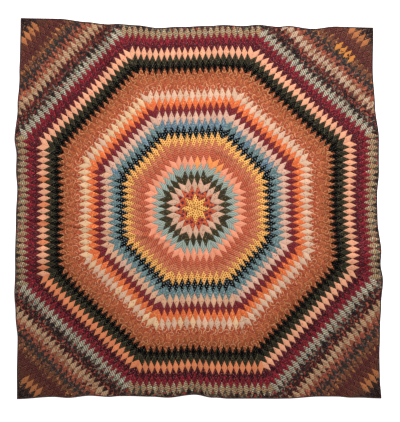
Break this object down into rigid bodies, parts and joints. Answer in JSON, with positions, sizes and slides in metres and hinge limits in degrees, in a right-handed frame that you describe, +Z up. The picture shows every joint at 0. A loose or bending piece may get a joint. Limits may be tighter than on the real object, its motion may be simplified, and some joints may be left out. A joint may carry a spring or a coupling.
{
  "type": "sunburst quilt",
  "caption": "Square cotton patchwork quilt laid flat, pieced from 45 degree diamonds in rings round a central star, with a narrow binding.",
  "frame": {"origin": "on the surface the quilt lies on, under the middle of its bounding box", "axes": "+Z up out of the pieced face, +Y towards the quilt's top edge, +X towards its right edge"},
  "size_m": [2.081, 2.1524, 0.0282],
  "materials": {
    "patchwork": "printed cotton, hand quilted, matt",
    "light_prints": "cream, peach, pink and mustard printed cottons, matt",
    "warm_prints": "coral, brick, rust, orange and crimson printed cottons, matt",
    "cool_prints": "grey-blue, steel blue and grey-green printed cottons, matt",
    "dark_prints": "navy, black, olive, maroon and dark brown printed cottons, matt",
    "backing": "plain unbleached cotton, matt",
    "binding": "dark brown cotton strip, matt, a little worn at the fold"
  },
  "bodies": {
    "root": {"quilt": "patchwork", "binding_top": "binding", "binding_bottom": "binding", "binding_left": "binding", "binding_right": "binding"}
  },
  "joints": []
}
